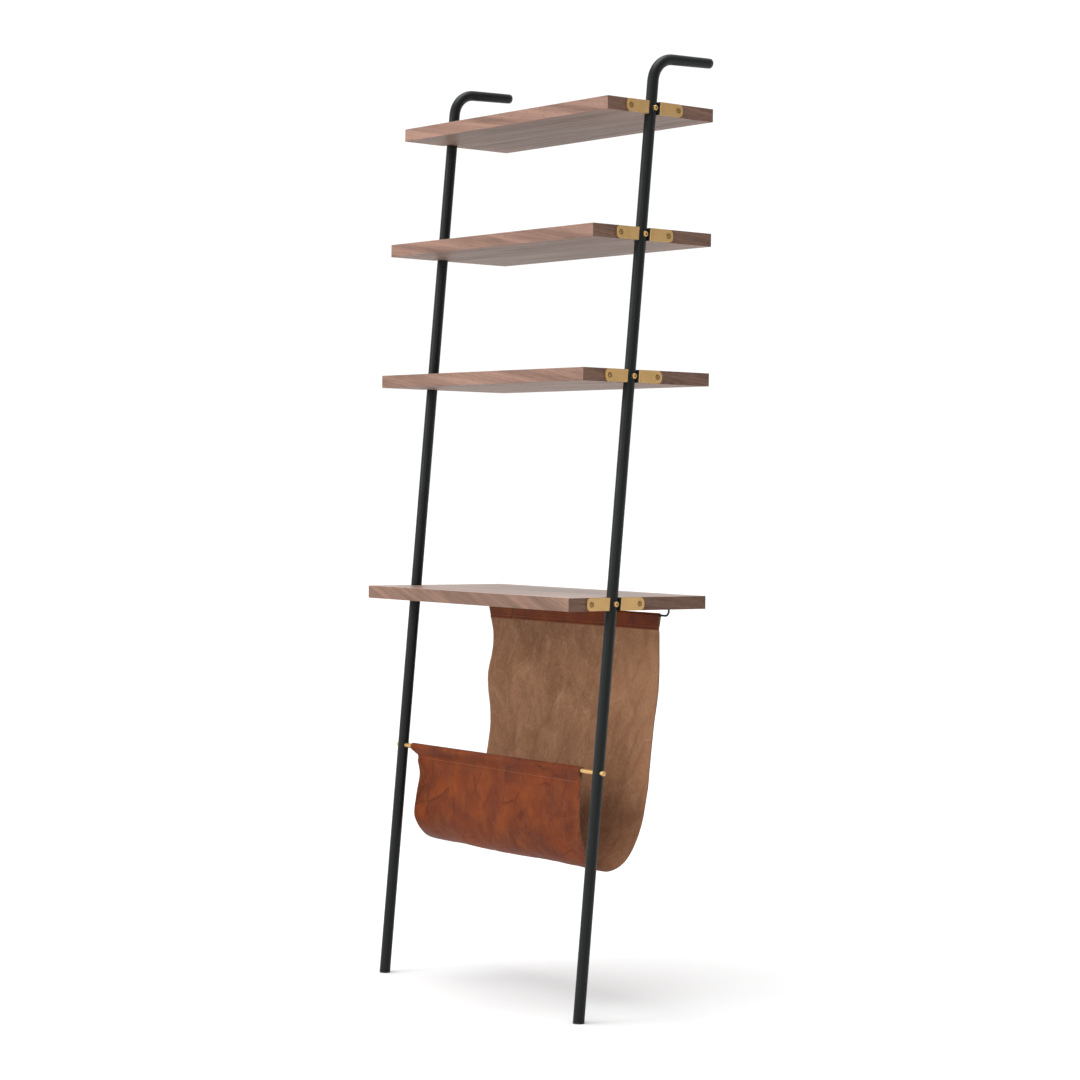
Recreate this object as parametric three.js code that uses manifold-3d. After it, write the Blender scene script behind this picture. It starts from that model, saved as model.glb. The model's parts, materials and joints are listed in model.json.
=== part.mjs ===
// Ladder shelf: two bent steel poles lean from the floor to the wall and carry four walnut boards.
// Brass brackets on the board ends hold the poles, and a leather magazine sling hangs under the desk board.
// Millimetres, +Z up, the wall at +Y and the front at -Y.
// The origin is on the floor, under the middle of the box.
import * as THREE from "three";
import { mergeVertices } from "three/addons/utils/BufferGeometryUtils.js";
import Module from "manifold-3d";

const wasm = await Module();
wasm.setup();

// ---- Driving dimensions ----
const BOARD_WIDTH = 800;
const BOARD_THICKNESS = 31;
// Each board's top surface above the floor, and its depth from the wall.
const BOARDS = [
  { name: "top", top: 2130, depth: 324 },
  { name: "upper", top: 1836, depth: 362 },
  { name: "middle", top: 1506, depth: 385 },
  { name: "desk", top: 978.5, depth: 418 },
];
const DESK = BOARDS[3];
const POLE_X = 388;
const POLE_RADIUS = 13.45;
const POLE_WALL = 2;
const FOOT_DEPTH = 361; // pole axis to the wall, at the floor
const LEAN = THREE.MathUtils.degToRad(4.78);
const HOOK_RADIUS = 60;
const ARM_RISE = THREE.MathUtils.degToRad(2);
const ARM_HEIGHT = 2238.5; // the arm's axis where it meets the wall
const ARM_END_RADIUS = 11.8; // the arm is drawn down a little towards the wall
const FRONT_ROD_HEIGHT = 573.5;
const FRONT_ROD_RADIUS = 6;
const BACK_ROD_RADIUS = 2.5;
const BACK_ROD_DEPTH = 77;
const BACK_ROD_HEIGHT = 930;
const LEATHER = 2.4;
const GAP = 0.3; // between pieces that touch

// ---- Derived places ----
const WALL_Y = DESK.depth / 2;
const BOARD_END = BOARD_WIDTH / 2;
const atDepth = (depth) => WALL_Y - depth;
const SLOPE = Math.tan(LEAN);
const poleDepth = (z) => FOOT_DEPTH - SLOPE * z;
const FRONT_ROD_DEPTH = poleDepth(FRONT_ROD_HEIGHT);
const SIDES = [
  { name: "left", sign: -1 },
  { name: "right", sign: 1 },
];

// ---- Bracket dimensions, measured from the pole's axis ----
const STRAP = 3.5;
const EAR_HEIGHT = 30;
const EAR_REACH = 86;
const EAR_CORNER = 12;
const CHANNEL_HALF = 16.5; // inside half width of the strap's channel
const SHOULDER = 8; // the channel strip's overlap on each ear
const SCREW_OFFSET = 72;
const SEAT_RADIUS = POLE_RADIUS + GAP;
const SADDLE_BACK = -(SEAT_RADIUS + 3.1);
const SADDLE_INSET = 1.6; // the saddle's front face stops short of the ear's
const STRAP_INNER = BOARD_END - POLE_X + GAP; // back face of the ears
const STRAP_OUTER = STRAP_INNER + STRAP;
const CHANNEL_FLOOR = SADDLE_BACK - GAP; // face of the channel that the saddle rests on
const BOLT_RADIUS = 3;
const BOLT_HEAD_RADIUS = 6.3;
const BOLT_HEAD_FACE = 20;
const BOLT_TIP = -76;
const BOLT_SOCKET_RADIUS = 2.6;
const BOLT_SOCKET_DEPTH = 4;
const SCREW_HEAD_RADIUS = 5.6;
const SCREW_CHAMFER = 0.5; // the head's face slopes down this far towards its rim
const SCREW_RIM = 0.8; // depth of the head's rim below its face
const SCREW_CONE = 2.8; // depth of the whole head
const SCREW_RADIUS = 2;
const SCREW_SIDES = 16;
const SCREW_LENGTH = 32;
const COUNTERSINK = 0.8; // clearance round the head
const CROSS_RECESS = [5, 1.3, 1.8]; // length, width and depth of the driver's slots
const SCREW_FACE = STRAP_OUTER - 0.4; // a little below the ear's face

// ---- Materials ----
function paint(color, roughness, metalness) {
  return new THREE.MeshStandardMaterial({ color, roughness, metalness });
}

const BLACK_STEEL = paint(0x2b302f, 0.45, 0.3);
const BLACK_NYLON = paint(0x141515, 0.6, 0);
const WALNUT = paint(0x8a6357, 0.55, 0);
const BRASS = paint(0xc9a468, 0.35, 0.9);
const COGNAC = paint(0x8f4728, 0.6, 0);

const part = new THREE.Group();
const FAR = 60; // for cutting tools, which reach well past what they cut

// ---- Solids ----
function solidOf(geometry) {
  const bare = geometry.clone();
  bare.deleteAttribute("normal");
  bare.deleteAttribute("uv");
  const merged = mergeVertices(bare, 1e-4);
  const mesh = new wasm.Mesh({
    numProp: 3,
    vertProperties: new Float32Array(merged.attributes.position.array),
    triVerts: new Uint32Array(merged.index.array),
  });
  return new wasm.Manifold(mesh);
}

function geometryOf(solid) {
  const mesh = solid.getMesh();
  const geometry = new THREE.BufferGeometry();
  geometry.setAttribute("position", new THREE.BufferAttribute(new Float32Array(mesh.vertProperties), 3));
  geometry.setIndex(new THREE.BufferAttribute(new Uint32Array(mesh.triVerts), 1));
  geometry.computeVertexNormals();
  return geometry;
}

function addPiece(name, solid, material) {
  const mesh = new THREE.Mesh(geometryOf(solid), material);
  mesh.name = name;
  part.add(mesh);
}

function box(low, high) {
  const size = high.map((v, i) => v - low[i]);
  const centre = high.map((v, i) => (v + low[i]) / 2);
  return solidOf(new THREE.BoxGeometry(...size).translate(...centre));
}

// A cylinder between two points.
function rod(from, to, radius, sides = 20) {
  const a = new THREE.Vector3(...from);
  const b = new THREE.Vector3(...to);
  const geometry = new THREE.CylinderGeometry(radius, radius, a.distanceTo(b), sides);
  const turn = new THREE.Quaternion().setFromUnitVectors(
    new THREE.Vector3(0, 1, 0),
    b.clone().sub(a).normalize(),
  );
  geometry.applyQuaternion(turn);
  const middle = a.add(b).multiplyScalar(0.5);
  return solidOf(geometry.translate(middle.x, middle.y, middle.z));
}

// A profile of [radius, x] points turned about the X axis. It starts and ends on the axis, with x falling.
function turned(profile, sides) {
  const points = profile.map(([radius, x]) => new THREE.Vector2(radius, x)).reverse();
  return solidOf(new THREE.LatheGeometry(points, sides).rotateZ(-Math.PI / 2));
}

// An outline of [x, y] points drawn up along Z, from low to high.
function prism(outline, low, high) {
  const shape = new THREE.Shape(outline.map(([x, y]) => new THREE.Vector2(x, y)));
  const geometry = new THREE.ExtrudeGeometry(shape, { depth: high - low, bevelEnabled: false });
  return solidOf(geometry.translate(0, 0, low));
}

// Leans a solid the way the poles lean: Y grows with Z.
function leaned(solid) {
  return solid.transform([1, 0, 0, 0, 0, 1, 0, 0, 0, SLOPE, 1, 0, 0, 0, 0, 1]);
}

const arc = (cx, cy, radius, start, end, steps) =>
  Array.from({ length: steps + 1 }, (_, i) => {
    const angle = start + ((end - start) * i) / steps;
    return [cx + radius * Math.cos(angle), cy + radius * Math.sin(angle)];
  });

// Joins rings of points into a closed skin. Rings share one point count, and the two ends are capped by
// the triangles given, or joined to each other when the skin runs round.
function skin(rings, capTriangles) {
  const count = rings[0].length;
  const positions = rings.flat(2);
  const index = [];
  const quad = (a, b, c, d) => index.push(a, b, c, a, c, d);
  for (let r = 0; r + 1 < rings.length; r++) {
    for (let i = 0; i < count; i++) {
      const j = (i + 1) % count;
      quad(r * count + i, r * count + j, (r + 1) * count + j, (r + 1) * count + i);
    }
  }
  const last = (rings.length - 1) * count;
  for (const [a, b, c] of capTriangles) {
    index.push(a, c, b);
    index.push(last + a, last + b, last + c);
  }
  const geometry = new THREE.BufferGeometry();
  geometry.setAttribute("position", new THREE.Float32BufferAttribute(positions, 3));
  geometry.setIndex(index);
  const solid = solidOf(geometry);
  if (solid.volume() > 0) return solid;
  for (let i = 0; i < index.length; i += 3) [index[i + 1], index[i + 2]] = [index[i + 2], index[i + 1]];
  geometry.setIndex(index);
  return solidOf(geometry);
}

// A round bar along a path in one YZ plane. A station holds its centre y and z, its radius, and its
// in-plane normal ny and nz.
function bar(stations, x, inset, sides) {
  const rings = stations.map(({ y, z, radius, ny, nz }) =>
    Array.from({ length: sides }, (_, i) => {
      const angle = (2 * Math.PI * i) / sides;
      const across = (radius - inset) * Math.cos(angle);
      const within = (radius - inset) * Math.sin(angle);
      return [x + across, y + within * ny, z + within * nz];
    }),
  );
  const fan = Array.from({ length: sides - 2 }, (_, i) => [0, i + 1, i + 2]);
  return skin(rings, fan);
}

// ---- Poles ----
const POLE_SIDES = 36;
const OVERRUN = 20; // the blanks run past the floor and the wall, and are trimmed there
const BORE_OVERRUN = 25; // the bore's blank runs past the pole's
const GLIDE = 3;
const GLIDE_STEM = 26;
const WALL_CAP = 9;
const WALL_CAP_RIM = 4.5;
const WALL_CAP_STEM = 20;

// The pole's centreline: straight up from the floor, round the hook, then out to the wall.
function poleStations(endDepth, startHeight) {
  const armHeight = (depth) => ARM_HEIGHT - Math.tan(ARM_RISE) * depth;
  const cornerHeight = armHeight(FOOT_DEPTH) / (1 - Math.tan(ARM_RISE) * SLOPE);
  const cornerDepth = poleDepth(cornerHeight);
  const turn = Math.PI / 2 - LEAN - ARM_RISE;
  const tangent = HOOK_RADIUS * Math.tan(turn / 2);
  const bendDepth = cornerDepth + tangent * Math.sin(LEAN);
  const bendHeight = cornerHeight - tangent * Math.cos(LEAN);
  const centreDepth = bendDepth - HOOK_RADIUS * Math.cos(LEAN);
  const centreHeight = bendHeight - HOOK_RADIUS * Math.sin(LEAN);
  const bendSteps = 14;
  const station = (depth, z, heading, radius) => ({
    y: atDepth(depth),
    z,
    radius,
    ny: Math.cos(heading),
    nz: -Math.sin(heading),
  });
  const stations = [station(poleDepth(startHeight), startHeight, LEAN, POLE_RADIUS)];
  for (let i = 0; i <= bendSteps; i++) {
    const share = i / bendSteps;
    const heading = LEAN + turn * share;
    stations.push(
      station(
        centreDepth + HOOK_RADIUS * Math.cos(heading),
        centreHeight + HOOK_RADIUS * Math.sin(heading),
        heading,
        POLE_RADIUS - (POLE_RADIUS - ARM_END_RADIUS) * 0.5 * share,
      ),
    );
  }
  stations.push(station(endDepth, armHeight(endDepth), Math.PI / 2 - ARM_RISE, ARM_END_RADIUS));
  return stations;
}

const belowFloor = (z) => box([-BOARD_WIDTH, -BOARD_WIDTH, -FAR], [BOARD_WIDTH, BOARD_WIDTH, z]);
const pastWall = (y) => box([-BOARD_WIDTH, y, -FAR], [BOARD_WIDTH, y + FAR, ARM_HEIGHT + FAR]);
const boltHeight = (board) => board.top - BOARD_THICKNESS / 2;

function pole(x) {
  const solidPole = bar(poleStations(-OVERRUN, -OVERRUN), x, 0, POLE_SIDES);
  const bore = bar(poleStations(-BORE_OVERRUN, -BORE_OVERRUN), x, POLE_WALL, POLE_SIDES);
  let tube = solidPole.subtract(bore);
  tube = tube.subtract(belowFloor(GLIDE + GAP)).subtract(pastWall(WALL_Y - WALL_CAP - GAP));
  for (const board of BOARDS) {
    const y = atDepth(poleDepth(boltHeight(board)));
    tube = tube.subtract(crossBore(x, y, boltHeight(board), BOLT_RADIUS + GAP, 12));
  }
  const rodBore = crossBore(x, atDepth(FRONT_ROD_DEPTH), FRONT_ROD_HEIGHT, FRONT_ROD_RADIUS + GAP, 20);
  return tube.subtract(rodBore);
}

function crossBore(x, y, z, radius, sides) {
  return rod([x - 2 * POLE_RADIUS, y, z], [x + 2 * POLE_RADIUS, y, z], radius, sides);
}

// A nylon glide plugs the foot of each pole: a disc on the floor and a stem up the bore.
function footGlide(x) {
  const axisPoint = (z) => [x, atDepth(poleDepth(z)), z];
  const stem = rod(axisPoint(GLIDE / 2), axisPoint(GLIDE_STEM), POLE_RADIUS - POLE_WALL - GAP);
  const disc = rod(axisPoint(-OVERRUN), axisPoint(OVERRUN), POLE_RADIUS, POLE_SIDES);
  const above = box([x - FAR, -BOARD_WIDTH, GLIDE], [x + FAR, BOARD_WIDTH, FAR]);
  return disc.subtract(above).add(stem).subtract(belowFloor(0));
}

// A cap closes the arm's end and rests on the wall; its rim is rounded.
function wallCap(x) {
  const flat = ARM_END_RADIUS - WALL_CAP_RIM;
  const stemRadius = ARM_END_RADIUS - POLE_WALL - GAP;
  const length = WALL_CAP + 1;
  const profile = [
    [0, length],
    ...arc(flat, length - WALL_CAP_RIM, WALL_CAP_RIM, Math.PI / 2, 0, 4),
    [ARM_END_RADIUS, 0],
    [stemRadius, 0],
    [stemRadius, -WALL_CAP_STEM],
    [0, -WALL_CAP_STEM],
  ];
  const rise = Math.tan(ARM_RISE);
  const cap = turned(profile, POLE_SIDES)
    .rotate([0, 0, 90])
    .transform([1, 0, 0, 0, 0, 1, rise, 0, 0, 0, 1, 0, 0, 0, 0, 1])
    .translate([x, WALL_Y - WALL_CAP, ARM_HEIGHT - rise * WALL_CAP]);
  return cap.subtract(pastWall(WALL_Y));
}

for (const { name, sign } of SIDES) {
  const x = sign * POLE_X;
  addPiece(`pole_${name}`, pole(x), BLACK_STEEL);
  addPiece(`foot_glide_${name}`, footGlide(x), BLACK_NYLON);
  addPiece(`wall_cap_${name}`, wallCap(x), BLACK_NYLON);
}

// ---- Brackets, made for a right-hand end about the pole's axis, +X outwards ----
const boltBore = rod([-FAR, 0, 0], [0, 0, 0], BOLT_RADIUS + GAP, 12);

// A length of tube the size of the pole's seat, which hollows whatever sits on the pole.
const poleSeat = rod([0, -SLOPE * FAR, -FAR], [0, SLOPE * FAR, FAR], SEAT_RADIUS, POLE_SIDES);

function mirrored(solid, sign) {
  return sign > 0 ? solid : solid.mirror([1, 0, 0]);
}

// The strap: a channel that lines the board's notch, and two ears screwed to the board's end.
function bracketStrap() {
  const out = CHANNEL_HALF + STRAP;
  const shoulder = out + SHOULDER;
  const half = EAR_HEIGHT / 2;
  const bend = (side) => arc(STRAP_INNER, side * out, STRAP, 0, -side * (Math.PI / 2), 4);
  const outline = [
    [STRAP_INNER, -shoulder],
    [STRAP_OUTER, -shoulder],
    ...bend(-1),
    [CHANNEL_FLOOR, -CHANNEL_HALF],
    [CHANNEL_FLOOR, CHANNEL_HALF],
    ...bend(1).reverse(),
    [STRAP_OUTER, shoulder],
    [STRAP_INNER, shoulder],
    [STRAP_INNER, out],
    [CHANNEL_FLOOR - STRAP, out],
    [CHANNEL_FLOOR - STRAP, -out],
    [STRAP_INNER, -out],
  ];
  const inner = out + SHOULDER / 2;
  const c = EAR_CORNER;
  const ear = [
    [inner, -half],
    ...arc(EAR_REACH - c, -half + c, c, -Math.PI / 2, 0, 5),
    ...arc(EAR_REACH - c, half - c, c, 0, Math.PI / 2, 5),
    [inner, half],
  ];
  // Drawn flat as (Y, Z), then stood up: the drawing's plane turns to YZ and its depth to X.
  const standUp = [0, 1, 0, 0, 0, 0, 1, 0, 1, 0, 0, 0, 0, 0, 0, 1];
  const plate = prism(ear, STRAP_INNER, STRAP_OUTER).transform(standUp);
  let strap = leaned(prism(outline, -half, half)).add(plate).add(plate.mirror([0, 1, 0]));
  for (const y of [-SCREW_OFFSET, SCREW_OFFSET]) {
    const hole = [
      [0, STRAP_OUTER + 1],
      [SCREW_HEAD_RADIUS + COUNTERSINK, STRAP_OUTER + 1],
      [SCREW_HEAD_RADIUS + COUNTERSINK, SCREW_FACE - SCREW_RIM - GAP],
      [SCREW_RADIUS + COUNTERSINK, SCREW_FACE - SCREW_CONE - GAP],
      [SCREW_RADIUS + COUNTERSINK, 0],
      [0, 0],
    ];
    strap = strap.subtract(turned(hole, SCREW_SIDES).translate([0, y, 0]));
  }
  return strap.subtract(boltBore);
}

// The black saddle sits in the channel and hugs the back of the pole.
function bracketSaddle() {
  const half = CHANNEL_HALF - GAP;
  const face = STRAP_OUTER - SADDLE_INSET;
  const outline = [
    [face, -half],
    [face, -SEAT_RADIUS],
    ...arc(0, 0, SEAT_RADIUS, -Math.PI / 2, -1.5 * Math.PI, 12),
    [face, SEAT_RADIUS],
    [face, half],
    [SADDLE_BACK, half],
    [SADDLE_BACK, -half],
  ];
  const tall = EAR_HEIGHT / 2;
  return leaned(prism(outline, -tall, tall)).subtract(boltBore);
}

// The bolt runs through the pole, saddle and strap into the board. Its head is hollowed to sit on the tube.
function poleBolt() {
  const edge = 1.2;
  const r = BOLT_HEAD_RADIUS;
  const profile = [
    [0, BOLT_HEAD_FACE],
    [r - edge, BOLT_HEAD_FACE],
    [r, BOLT_HEAD_FACE - edge],
    [r, 5],
    [BOLT_RADIUS, 5],
    [BOLT_RADIUS, BOLT_TIP + 2],
    [BOLT_RADIUS - 1, BOLT_TIP],
    [0, BOLT_TIP],
  ];
  const shank = rod([BOLT_TIP + 2, 0, 0], [SEAT_RADIUS, 0, 0], BOLT_RADIUS, 12);
  const socket = rod([BOLT_HEAD_FACE - BOLT_SOCKET_DEPTH, 0, 0], [FAR, 0, 0], BOLT_SOCKET_RADIUS, 6);
  return turned(profile, 18).subtract(poleSeat).add(shank).subtract(socket);
}

// A countersunk wood screw with a cross recess, its face a little below the ear's.
function woodScrew() {
  const profile = [
    [0, SCREW_FACE],
    [SCREW_HEAD_RADIUS - 2, SCREW_FACE],
    [SCREW_HEAD_RADIUS, SCREW_FACE - SCREW_CHAMFER],
    [SCREW_HEAD_RADIUS, SCREW_FACE - SCREW_RIM],
    [SCREW_RADIUS, SCREW_FACE - SCREW_CONE],
    [SCREW_RADIUS, SCREW_FACE - SCREW_LENGTH + 5],
    [0, SCREW_FACE - SCREW_LENGTH],
  ];
  const [long, narrow, deep] = CROSS_RECESS;
  const slot = (y, z) => box([SCREW_FACE - deep, -y / 2, -z / 2], [SCREW_FACE + 1, y / 2, z / 2]);
  return turned(profile, SCREW_SIDES).subtract(slot(long, narrow)).subtract(slot(narrow, long));
}

const strap = bracketStrap();
const saddle = bracketSaddle();
const bolt = poleBolt();
const screw = woodScrew();

for (const board of BOARDS) {
  const z = boltHeight(board);
  const y = atDepth(poleDepth(z));
  for (const { name, sign } of SIDES) {
    const place = (solid, dy = 0) => mirrored(solid, sign).translate([sign * POLE_X, y + dy, z]);
    const where = `${board.name}_${name}`;
    addPiece(`bracket_${where}`, place(strap), BRASS);
    addPiece(`saddle_${where}`, place(saddle), BLACK_NYLON);
    addPiece(`pole_bolt_${where}`, place(bolt), BRASS);
    addPiece(`screw_${where}_front`, place(screw, -SCREW_OFFSET), BRASS);
    addPiece(`screw_${where}_rear`, place(screw, SCREW_OFFSET), BRASS);
  }
}

// ---- Boards, notched at both ends for the channels and bored for the fasteners ----
const HANGER_X = 356; // where the back rod's ends enter the desk board
const HANGER_DEPTH_IN_BOARD = 14;
const HANGER_BORE = BACK_ROD_RADIUS + GAP;

function board({ top, depth, name }) {
  const low = top - BOARD_THICKNESS;
  const z = top - BOARD_THICKNESS / 2;
  const y = atDepth(poleDepth(z));
  let wood = box([-BOARD_END, atDepth(depth), low], [BOARD_END, WALL_Y, top]);
  const notchHalf = CHANNEL_HALF + STRAP + GAP;
  const notchFloor = CHANNEL_FLOOR - STRAP - GAP;
  const notch = leaned(
    prism(
      [[notchFloor, -notchHalf], [FAR, -notchHalf], [FAR, notchHalf], [notchFloor, notchHalf]],
      -BOARD_THICKNESS,
      BOARD_THICKNESS,
    ),
  );
  const boltHole = rod([BOLT_TIP - 2, 0, 0], [0, 0, 0], BOLT_RADIUS + GAP, 12);
  const screwHole = rod([STRAP_OUTER - SCREW_LENGTH - 1, 0, 0], [FAR, 0, 0], SCREW_RADIUS + GAP, 12);
  for (const { sign } of SIDES) {
    const place = (solid, dy = 0) => mirrored(solid, sign).translate([sign * POLE_X, y + dy, z]);
    wood = wood.subtract(place(notch)).subtract(place(boltHole));
    wood = wood.subtract(place(screwHole, -SCREW_OFFSET)).subtract(place(screwHole, SCREW_OFFSET));
    if (name === DESK.name) {
      const mouth = [sign * HANGER_X, atDepth(BACK_ROD_DEPTH), low - FAR];
      const ceiling = [sign * HANGER_X, atDepth(BACK_ROD_DEPTH), low + HANGER_DEPTH_IN_BOARD];
      wood = wood.subtract(rod(mouth, ceiling, HANGER_BORE, 14));
    }
  }
  return wood;
}

for (const spec of BOARDS) addPiece(`shelf_${spec.name}`, board(spec), WALNUT);

// ---- Sling rods ----
const SPIGOT_RADIUS = 4;
const SPIGOT_LENGTH = 6;
const SPIGOT_STEP = 1.5; // the full-size rod stops this far inside the pole's outer face
const CAP_RADIUS = 6.3;
const CAP_FACE = 22; // from the pole's axis
const FLANGE_RADIUS = 7;
const FLANGE_THICKNESS = 1.8;

// The front rod passes through both poles, with a spigot at each end for its cap nut.
function frontRod() {
  const y = atDepth(FRONT_ROD_DEPTH);
  const end = POLE_X + POLE_RADIUS - SPIGOT_STEP;
  const spigot = end + SPIGOT_LENGTH;
  const body = rod([-end, y, FRONT_ROD_HEIGHT], [end, y, FRONT_ROD_HEIGHT], FRONT_ROD_RADIUS, 20);
  return body.add(rod([-spigot, y, FRONT_ROD_HEIGHT], [spigot, y, FRONT_ROD_HEIGHT], SPIGOT_RADIUS, 14));
}

// A domed cap nut, hollowed to sit on the pole and bored for the spigot.
function rodCap() {
  const dome = 4;
  const profile = [
    [0, CAP_FACE],
    [CAP_RADIUS - dome, CAP_FACE],
    ...arc(CAP_RADIUS - dome, CAP_FACE - dome, dome, Math.PI / 2, 0, 4).slice(1),
    [CAP_RADIUS, 5],
    [0, 5],
  ];
  const bore = rod([0, 0, 0], [POLE_RADIUS + SPIGOT_LENGTH, 0, 0], SPIGOT_RADIUS + GAP, 14);
  return turned(profile, 20).subtract(poleSeat).subtract(bore);
}

// The back rod is a thin steel bar whose ends turn up into the desk board.
function backRod() {
  const bend = 12;
  const y = atDepth(BACK_ROD_DEPTH);
  const underside = DESK.top - BOARD_THICKNESS;
  const tip = underside + HANGER_DEPTH_IN_BOARD - 1;
  const half = [...arc(HANGER_X - bend, BACK_ROD_HEIGHT + bend, bend, -Math.PI / 2, 0, 7), [HANGER_X, tip]];
  const path = [...half.map(([x, z]) => [-x, z]).reverse(), ...half];
  const sides = 12;
  const rings = path.map(([x, z], i) => {
    const before = path[Math.max(i - 1, 0)];
    const after = path[Math.min(i + 1, path.length - 1)];
    const inBoard = { 0: -Math.PI / 2, [path.length - 1]: Math.PI / 2 };
    const heading = inBoard[i] ?? Math.atan2(after[1] - before[1], after[0] - before[0]);
    return Array.from({ length: sides }, (_, k) => {
      const angle = (2 * Math.PI * k) / sides;
      const within = BACK_ROD_RADIUS * Math.cos(angle);
      const across = BACK_ROD_RADIUS * Math.sin(angle);
      return [x - within * Math.sin(heading), y + across, z + within * Math.cos(heading)];
    });
  });
  const fan = Array.from({ length: sides - 2 }, (_, i) => [0, i + 1, i + 2]);
  return skin(rings, fan);
}

// A flanged ferrule under the desk board round each turned-up end.
function ferrule(x) {
  const y = atDepth(BACK_ROD_DEPTH);
  const face = DESK.top - BOARD_THICKNESS - GAP;
  const flange = rod([x, y, face - FLANGE_THICKNESS], [x, y, face], FLANGE_RADIUS, 18);
  return flange.subtract(rod([x, y, face - FAR], [x, y, face + FAR], HANGER_BORE, 14));
}

addPiece("sling_rod_front", frontRod(), BRASS);
addPiece("sling_rod_back", backRod(), BLACK_STEEL);
const capNut = rodCap();
for (const { name, sign } of SIDES) {
  const capPlace = [sign * POLE_X, atDepth(FRONT_ROD_DEPTH), FRONT_ROD_HEIGHT];
  addPiece(`rod_cap_${name}`, mirrored(capNut, sign).translate(capPlace), BRASS);
  addPiece(`rod_ferrule_${name}`, ferrule(sign * HANGER_X), BLACK_STEEL);
}

// ---- Leather sling ----
// One strip of leather: a sleeve round the back rod, down, under and up to a sleeve round the front rod.
// The hang of each side edge is a list of [depth, height] points, back to front. The two sides differ.
const SLING_RIGHT = {
  backX: 322,
  frontX: 327,
  hang: [[76, 855], [76, 812], [79, 755], [86, 706], [94, 655], [102, 600], [113, 510], [132, 424],
    [174, 356], [232, 332], [283, 357], [311, 412], [319, 462], [317, 512]],
};
const SLING_LEFT = {
  backX: -342,
  frontX: -345,
  hang: [[64, 855], [64, 812], [73, 755], [71, 706], [66, 655], [67, 600], [74, 510], [92, 424],
    [136, 356], [200, 332], [262, 346], [300, 392], [296, 442], [287, 500]],
};
const HEM_BACK = 35;
const HEM_FRONT = 30;

// The centreline of the sleeve round a rod: from the flap's free end up, over the rod, down to the panel.
// Side is +1 when the panel leaves on the front of the rod and -1 when it leaves on the wall side.
function sleeve(rodDepth, rodHeight, rodRadius, hem, side, joinDepth) {
  const radius = rodRadius + 0.5 + LEATHER / 2;
  const ply = LEATHER + GAP;
  const joined = side * (joinDepth - rodDepth);
  const panel = [joined, 8 - hem];
  const flap = [joined - ply, 8 - hem];
  // The angle where a line down to the point leaves the rod.
  const leave = ([u, z], way) => Math.atan2(z, u) + way * Math.acos(radius / Math.hypot(u, z));
  const over = arc(0, 0, radius, leave(flap, -1) + 2 * Math.PI, leave(panel, 1), 12);
  const local = [[flap[0], -hem], flap, ...over, panel, [joined, -hem - 4]];
  return local.map(([u, z]) => [rodDepth + side * u, rodHeight + z]);
}

function slingCentreline(hang) {
  const backJoin = hang[0][0] + (BACK_ROD_DEPTH - hang[0][0]) * 0.6;
  const frontJoin = hang[hang.length - 1][0] * 0.6 + FRONT_ROD_DEPTH * 0.4;
  const back = sleeve(BACK_ROD_DEPTH, BACK_ROD_HEIGHT, BACK_ROD_RADIUS, HEM_BACK, -1, backJoin);
  const front = sleeve(FRONT_ROD_DEPTH, FRONT_ROD_HEIGHT, FRONT_ROD_RADIUS, HEM_FRONT, 1, frontJoin);
  front.reverse();
  const knots = [back[back.length - 1], ...hang, front[0]].map(([d, z]) => new THREE.Vector2(d, z));
  const panel = new THREE.SplineCurve(knots).getPoints(40).map((p) => [p.x, p.y]);
  return [...back.slice(0, -1), ...panel, ...front.slice(1)];
}

// The outline of a strip of leather whose middle follows a path.
function strip(path) {
  const faces = [1, -1].map((side) =>
    path.map(([depth, z], i) => {
      const before = path[Math.max(i - 1, 0)];
      const after = path[Math.min(i + 1, path.length - 1)];
      const length = Math.hypot(after[0] - before[0], after[1] - before[1]);
      const normal = [-(after[1] - before[1]) / length, (after[0] - before[0]) / length];
      return [depth + (side * normal[0] * LEATHER) / 2, z + (side * normal[1] * LEATHER) / 2];
    }),
  );
  return [...faces[0], ...faces[1].reverse()];
}

function leatherSling() {
  const stationCount = 5;
  const mix = (a, b, share) => a + (b - a) * share;
  const rings = [];
  let caps;
  for (let s = 0; s < stationCount; s++) {
    const share = s / (stationCount - 1);
    const hang = SLING_LEFT.hang.map((point, i) =>
      point.map((value, k) => mix(value, SLING_RIGHT.hang[i][k], share)),
    );
    const outline = strip(slingCentreline(hang));
    const half = outline.length / 2;
    rings.push(
      outline.map(([depth, z], i) => {
        const along = (i < half ? i : outline.length - 1 - i) / (half - 1);
        const left = mix(SLING_LEFT.backX, SLING_LEFT.frontX, along);
        const right = mix(SLING_RIGHT.backX, SLING_RIGHT.frontX, along);
        return [mix(left, right, share), atDepth(depth), z];
      }),
    );
    if (!caps) {
      // The strip is a row of quads, so its ends are capped quad by quad.
      caps = Array.from({ length: half - 1 }, (_, i) => {
        const [a, b, c, d] = [i, i + 1, outline.length - 2 - i, outline.length - 1 - i];
        return [[a, b, c], [a, c, d]];
      }).flat();
    }
  }
  return skin(rings, caps);
}

addPiece("leather_sling", leatherSling(), COGNAC);

export default part;
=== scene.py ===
"""Ladder shelf: walnut boards on black poles, with brass brackets and a leather magazine sling.

The CAD nodes carry the steel, brass and nylon pieces. The boards are rebuilt with eased edges, and the
sling is rebuilt as a sheet of leather with a smooth outside, a suede inside, hems and stitching.
"""

import json
import math

import bmesh
import bpy
import numpy as np
from mathutils import Matrix, Vector, noise


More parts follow.
